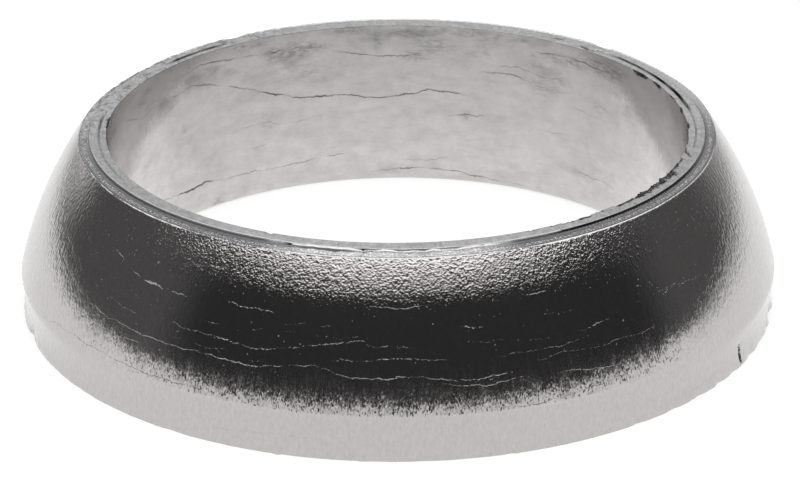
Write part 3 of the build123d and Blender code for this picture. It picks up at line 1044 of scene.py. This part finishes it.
class GraphiteBench(NodeBench):
    # the pressed graphite, with its places in millimetres and the masks kept on the mesh
    def __init__(self, tree):
        super().__init__(tree)
        place = self.add("ShaderNodeTexCoord").outputs["Object"]
        self.inMm = self.scaled(place, 1 / mm)
        axes = self.separated(self.inMm)
        self.x, self.y, self.z = axes["X"], axes["Y"], axes["Z"]
        flat = self.combined(X=self.x, Y=self.y)
        self.around = self.scaled(self.vector("NORMALIZE", flat), graphite["streakRadius"])
        self.crinkle, self.torn, self.seam = (self.attribute(n) for n in ("crinkle", "torn", "seam"))
        self.inside, self.land, self.shelf = (self.attribute(n) for n in ("inside", "land", "shelf"))
        self.step, self.groove, self.lip = (self.attribute(n) for n in ("step", "groove", "lip"))
        self.outside = self.less(1.0, self.inside)
        self.plainSide = self.less(1.0, self.most(self.land, self.shelf), clamp=True)
        self.fineStreaks = self.texture("fineStreaks")
        self.sparkle = self.texture("sparkle", smooth=True)

    def texture(self, name, smooth=False):
        scale, detail, roughness, *pairs = textures[name]
        place = self.inMm
        if name in stretches:
            place = self.vector("MULTIPLY", self.inMm, (1, 1, stretches[name]))
        if name in streaks:
            place = self.vector("ADD", self.around, self.combined(Z=self.times(self.z, streaks[name])))
        value = self.noise(place, scale, detail, roughness)
        return self.mapRange(value, *pairs, smooth=smooth) if pairs else value

    def swing(self, name):
        # a noise about nought
        return self.less(self.texture(name), 0.5)

    def across(self, distance, name, smooth=False):
        return self.mapRange(distance, *spans[name], smooth=smooth)

    def byPlace(self, pair):
        # the first value outside, the second in the bore
        return self.mapRange(self.inside, (0, 1), pair)

    def cover(self, share, name):
        self.color = self.mixColor(share, self.color, graphite[name])

    def shadeBy(self, amount):
        self.color = self.scaled(self.color, amount)

    def drawCracks(self):
        # hairline cracks, from the distances kept on the mesh
        jitter = self.times(self.swing("crackJitter"), graphite["crackJitter"])
        width = self.times(self.byPlace(graphite["crackWidth"]), self.texture("crackWidth"))
        lines = 0.0
        for group in range(crack["layers"] // 3):
            gaps = self.separated(self.attribute(f"crackGap{group}", "Vector"))
            forces = self.separated(self.attribute(f"crackForce{group}", "Vector"))
            for axis in "XYZ":
                ownWidth = self.times(width, self.most(forces[axis], 1.0))
                across = self.math("DIVIDE", self.plus(gaps[axis], jitter), ownWidth)
                line = self.math("EXPONENT", self.times(across, across, -1.0))
                lines = self.plus(self.times(line, forces[axis]), lines)
        self.lines = self.times(lines, self.most(self.texture("crackBreaks"), self.inside))

    def bumps(self):
        coarse = self.most(self.crinkle, self.shelf, self.lip)
        # the crackle shows only where light turns to dark
        crackle = self.times(self.across(self.y, "crackle"), self.byPlace(relief["crackleShare"]))
        onSkin = self.math("GREATER_THAN", self.crinkle, 0.0)
        height = self.plus(
            self.times(self.fineStreaks, self.plainSide, relief["streaks"]),
            self.times(self.texture("pressed"), relief["pressed"]),
            self.times(self.texture("coarse"), coarse, relief["coarse"]),
            self.times(self.texture("shelfGrain"), self.shelf, relief["shelf"]),
            self.times(self.texture("crackle"), self.plainSide, crackle),
            self.times(self.texture("landRelief"), self.land, relief["land"]),
            self.times(self.texture("tornRelief"), self.torn, relief["torn"]),
            self.times(self.texture("specks"), self.across(self.z, "specks", smooth=True), onSkin),
            self.times(self.texture("pips"), self.plainSide, self.outside, relief["pips"]),
            self.times(self.lines, self.byPlace(relief["crack"]), -1.0),
        )
        height = self.times(height, mm)
        bump = self.add("ShaderNodeBump", {"Height": height, "Strength": 1.0, "Distance": 1.0})
        return bump.outputs["Normal"]

    def normal(self):
        # short upright strokes tip the surface up and down a little
        lowDown = self.times(
            self.across(self.z, "dashTop", smooth=True), self.across(self.z, "dashFoot", smooth=True),
        )
        tilt = self.plus(
            self.times(self.swing("strokes"), tilts["strokes"]),
            self.times(self.swing("patches"), tilts["patches"]),
            self.times(self.texture("dashes"), lowDown, tilts["dashes"]),
        )
        tilt = self.times(tilt, self.plainSide, self.byPlace(tilts["share"]))
        upward = self.add(
            "ShaderNodeVectorTransform", {0: self.combined(Z=tilt)}, vector_type="VECTOR",
            convert_from="OBJECT", convert_to="WORLD",
        ).outputs[0]
        return self.vector("NORMALIZE", self.vector("ADD", self.bumps(), upward))

    def colorSides(self):
        # the bore is darker higher up, and has painted reflected light on its two side walls where they face
        # each other
        self.color = self.mixColor(self.inside, graphite["outside"], graphite["inside"])
        drawn = self.times(self.texture("drawn"), self.across(self.z, "upBore"))
        self.shadeBy(self.mix(self.inside, self.texture("grain"), drawn))
        # painted reflected light on the bore's side walls, strongest lower down
        aside = self.across(self.math("ABSOLUTE", self.x), "sideWallLight")
        paintedWallLight = self.times(aside, self.across(self.z, "lowSide"), self.inside)
        self.shadeBy(self.plus(paintedWallLight, 1.0))

    def colorFace(self):
        # the narrow face: pale grained land, darkened by painted shade beside the front, dark sparkling
        # shelf, and the lip, darkened by painted shade
        land = self.mixColor(self.texture("blotch"), graphite["land"], graphite["landPale"])
        # painted shade darkens the land on either side of the front
        landSideShade = self.times(
            self.across(self.y, "landFront", smooth=True), self.across(self.y, "landBack", smooth=True),
        )
        land = self.scaled(land, self.times(self.texture("landGrain"), self.less(1.0, landSideShade)))
        self.color = self.mixColor(self.land, self.color, land)
        shelf = self.mixColor(self.attribute("ragged"), graphite["shelf"], graphite["shelfFront"])
        shelf = self.mixColor(self.sparkle, shelf, graphite["shelfSpark"])
        # the dark shelf colour also covers the lip as painted shade
        self.color = self.mixColor(self.most(self.shelf, self.lip), self.color, shelf)
        self.cover(self.step, "step")
        # painted shade in the far left pits, and along the step's foot, its right side and the lip's inner
        # flank
        pits = self.times(self.texture("pits"), self.attribute("pitted"), graphite["pitShade"])
        self.cover(pits, "groove")
        self.cover(self.times(self.groove, graphite["grooveShade"]), "groove")
        self.cover(self.attribute("rollShade"), "rollShade")

    def colorMarks(self):
        # smudges, stains and veins in the bore, then the cracks, the torn mouth, dark in its own dull
        # graphite and in painted shadow, and painted shadow in the open seam
        cloud = self.texture("cloud", smooth=True)
        self.smudge = self.times(cloud, self.inside, self.across(self.z, "upperBore"))
        faint = self.times(self.texture("faint"), self.inside)
        self.cover(self.plus(self.smudge, faint), "smudge")
        drawnStain = self.texture("drawnStain", smooth=True)
        strength, most = graphite["stainShade"]
        stained = self.times(self.attribute("stain"), drawnStain, strength)
        self.cover(self.math("MINIMUM", stained, most), "stain")
        veins = self.mapRange(self.math("ABSOLUTE", self.swing("veins")), *graphite["veinShade"])
        self.cover(self.times(veins, self.inside), "stain")
        cracked = self.math("MINIMUM", self.lines, graphite["crackMost"])
        self.cover(self.times(cracked, self.byPlace(graphite["crackShade"])), "crackLine")
        # the torn mouth and its rubble are near black, partly the torn graphite's own dull colour and partly
        # painted shadow, with pale flecks
        spark = self.times(self.sparkle, graphite["rubbleSpark"])
        rubbleColor = self.mixColor(spark, graphite["torn"], graphite["shelfSpark"])
        self.color = self.mixColor(self.torn, self.color, rubbleColor)
        # painted shadow in the open seam, the breaks and the split
        self.cover(self.seam, "seam")

    def roughness(self):
        # a haze low on the seat, and duller finishes on the narrow face
        haze = self.times(self.texture("haze"), self.plainSide, self.across(self.z, "haze"))
        rough = self.mapRange(self.fineStreaks, *graphite["roughness"])
        rough = self.plus(rough, self.times(haze, self.outside))
        finishes = {
            "torn": self.torn, "land": self.land, "shelf": self.shelf, "step": self.step,
            "inside": self.inside, "smudge": self.smudge,
        }
        return self.plus(rough, *(self.times(finishes[name], dulling[name]) for name in finishes))


def makeGraphite():
    material = bpy.data.materials.new("pressedGraphite")
    material.use_nodes = True
    bench = GraphiteBench(material.node_tree)
    bench.drawCracks()
    bench.colorSides()
    bench.colorFace()
    bench.colorMarks()
    shader = bench.add("ShaderNodeBsdfPrincipled", {
        "Base Color": bench.color, "Metallic": 1.0, "Roughness": bench.roughness(),
        "Normal": bench.normal(),
    })
    bench.add("ShaderNodeOutputMaterial", {"Surface": shader.outputs[0]})
    return material


# Pairs are the parts of a direction, or metres on the floor, over which something fades
studio = {
    "horizonTilt": 0.105,  # the pale sweep ends higher in front than behind
    "horizon": (-0.026, 0.004),
    "overhead": 2.0,
    "overheadTilt": 0.1,
    "overheadEdge": (0.545, 0.71),
    "wall": 0.85,
    "wallTowards": (0, 0.93, 0.37),
    "wallEdge": (0.86, 0.94),
    "leftGlow": 0.5,
    "leftGlowSide": (-0.35, -0.6),
    "leftGlowBack": (0.6, 0.77),
    "leftwards": -0.28,  # how much the dim room brightens on the left as well as behind
    "roomEdge": (-0.22, 0.08),
    "room": (0.035, 0.108),
    "farRoomEdge": (0.5, 0.92),
    "farRoom": (0.0, 0.32),
    "panel": 1.7,
    "panelInner": (0.33, 0.46),
    "panelOuter": (0.56, 0.66),
    "panelFoot": (0.17, 0.29),
    "panelBack": (0.48, 0.62),
    "soft": 0.75,
    "floorRadius": 1.6,
    "floorSides": 96,
    "floorColor": (0.9, 0.9, 0.9, 1),
    "floorWhite": 0.7,  # how far the floor is plain white to the camera
    "tableEnd": (0.07, 0.19),  # metres from the ring over which the table behind it fades
    "farTable": 0.42,
    "behind": (-0.02, 0.03),
    "sideTableEdge": (0.005, 0.05),
    "sideTable": 1.06,
    "leftEnd": (-0.11, -0.16),  # where the table fades on the left
    "leftTable": 0.5,
    "lampSize": 0.9,
    "lampPower": 9.0,
    "lampPlace": (0.0, -0.15, 0.9),
    "lampTilt": -9,
}
white = (1, 1, 1, 1)


def mirroredLevel(bench, direction):
    # what the ring mirrors: a pale sweep, a soft light overhead, a pale wall behind and a dim room
    axes = bench.separated(direction)
    side, back, up = axes["X"], axes["Y"], axes["Z"]
    sweep = bench.plus(up, bench.times(back, studio["horizonTilt"]))
    sweep = bench.mapRange(sweep, studio["horizon"], (1.0, 0.0), smooth=True)
    overhead = bench.plus(up, bench.times(back, studio["overheadTilt"]))
    overhead = bench.mapRange(overhead, studio["overheadEdge"], smooth=True)
    towardsWall = bench.add(
        "ShaderNodeVectorMath", {0: direction, 1: studio["wallTowards"]}, operation="DOT_PRODUCT"
    ).outputs["Value"]
    wall = bench.mapRange(towardsWall, studio["wallEdge"], smooth=True)
    leftGlow = bench.times(
        bench.mapRange(side, studio["leftGlowSide"], smooth=True),
        bench.mapRange(back, studio["leftGlowBack"], smooth=True), studio["leftGlow"],
    )
    leftwards = bench.most(bench.times(side, studio["leftwards"]), 0.0)
    room = bench.plus(
        leftGlow,
        bench.mapRange(bench.plus(back, leftwards), studio["roomEdge"], studio["room"], smooth=True),
        bench.mapRange(back, studio["farRoomEdge"], studio["farRoom"], smooth=True),
    )
    sideways = bench.math("ABSOLUTE", side)
    panel = bench.times(
        bench.mapRange(sideways, studio["panelInner"], smooth=True),
        bench.mapRange(sideways, studio["panelOuter"], (1.0, 0.0), smooth=True),
        bench.mapRange(up, studio["panelFoot"], smooth=True),
        bench.mapRange(back, studio["panelBack"], smooth=True), studio["panel"],
    )
    overhead = bench.times(overhead, studio["overhead"])
    return bench.most(sweep, overhead, bench.times(wall, studio["wall"]), room, panel)


def makeWorld():
    # white for the camera, the studio in reflections, and plain soft light on everything else
    world = bpy.data.worlds.new("studio")
    bpy.context.scene.world = world
    world.use_nodes = True
    bench = NodeBench(world.node_tree)
    direction = bench.add("ShaderNodeTexCoord").outputs["Generated"]
    level = mirroredLevel(bench, direction)
    rays = bench.add("ShaderNodeLightPath").outputs
    seen = bench.add("ShaderNodeBackground", {"Color": white, "Strength": 1.0})
    mirrored = bench.add("ShaderNodeBackground", {"Color": white, "Strength": level})
    soft = bench.add("ShaderNodeBackground", {"Color": white, "Strength": studio["soft"]})
    other = bench.mixShader(rays["Is Glossy Ray"], soft, mirrored)
    final = bench.mixShader(rays["Is Camera Ray"], other, seen)
    bench.add("ShaderNodeOutputWorld", {"Surface": final.outputs[0]})


def tableLevel(bench):
    # how bright the floor is in reflections: it fades behind the ring and on the left
    place = bench.separated(bench.add("ShaderNodeTexCoord").outputs["Object"])
    side, back = place["X"], place["Y"]
    sideways = bench.math("ABSOLUTE", side)
    sideTable = bench.mapRange(sideways, studio["sideTableEdge"], (1.0, studio["sideTable"]))
    away = bench.math("SQRT", bench.plus(bench.times(side, side), bench.times(back, back)))
    fade = bench.mapRange(away, studio["tableEnd"], (1.0, studio["farTable"]))
    fade = bench.times(fade, bench.mapRange(side, studio["leftEnd"], (1.0, studio["leftTable"])))
    return bench.times(sideTable, bench.mix(bench.mapRange(back, studio["behind"]), 1.0, fade))


def makeFloor():
    bm = bmesh.new()
    bmesh.ops.create_circle(
        bm, cap_ends=True, radius=studio["floorRadius"], segments=studio["floorSides"],
    )
    mesh = bpy.data.meshes.new("floor")
    bm.to_mesh(mesh)
    bm.free()
    floor = bpy.data.objects.new("floor", mesh)
    bpy.context.scene.collection.objects.link(floor)
    material = bpy.data.materials.new("paleFloor")
    material.use_nodes = True
    bench = NodeBench(material.node_tree)
    rays = bench.add("ShaderNodeLightPath").outputs
    matt = bench.add("ShaderNodeBsdfDiffuse", {"Color": studio["floorColor"]})
    plain = bench.add("ShaderNodeEmission", {"Color": white, "Strength": 1.0})
    mirrored = bench.add("ShaderNodeEmission", {"Color": white, "Strength": tableLevel(bench)})
    seen = bench.mixShader(bench.times(rays["Is Camera Ray"], studio["floorWhite"]), matt, plain)
    final = bench.mixShader(rays["Is Glossy Ray"], seen, mirrored)
    bench.add("ShaderNodeOutputMaterial", {"Surface": final.outputs[0]})
    floor.data.materials.append(material)


def makeLamp():
    data = bpy.data.lights.new("softLamp", "AREA")
    data.shape = "DISK"
    data.size = studio["lampSize"]
    data.energy = studio["lampPower"]
    lamp = bpy.data.objects.new("softLamp", data)
    lamp.location = studio["lampPlace"]
    lamp.rotation_euler = (math.radians(studio["lampTilt"]), 0, 0)
    lamp.visible_glossy = False
    bpy.context.scene.collection.objects.link(lamp)


cameraView = {
    "distance": 293.44,  # from the centre of the wide face, in millimetres
    "elevation": 24.6965,
    "pitch": 23.8553,
    "yaw": -0.0405,
    "roll": -0.3170,
    "focalShare": 4.08321,  # focal length over the picture's width
    "sensor": 36,
    "clip": (0.01, 20),
}


def makeCamera():
    data = bpy.data.cameras.new("photoCamera")
    data.sensor_width = cameraView["sensor"]
    data.lens = cameraView["sensor"] * cameraView["focalShare"]
    data.clip_start, data.clip_end = cameraView["clip"]
    camera = bpy.data.objects.new("photoCamera", data)
    elevation = math.radians(cameraView["elevation"])
    reach = cameraView["distance"] * mm
    turned = Matrix.Rotation(math.radians(cameraView["yaw"]), 4, "Z")
    turned = turned @ Matrix.Rotation(math.radians(90 - cameraView["pitch"]), 4, "X")
    turned = turned @ Matrix.Rotation(math.radians(cameraView["roll"]), 4, "Z")
    place = Vector((0, -reach * math.cos(elevation), reach * math.sin(elevation)))
    camera.matrix_world = Matrix.Translation(place) @ turned
    bpy.context.scene.collection.objects.link(camera)
    bpy.context.scene.camera = camera


bpy.context.scene.view_settings.view_transform = "Standard"
makeCamera()
makeWorld()
makeFloor()
makeLamp()
print("stage ready")

piece = makeRing()
piece.data.materials.append(makeGraphite())
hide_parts(nodeName)
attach(piece, "root")
print("ring ready")
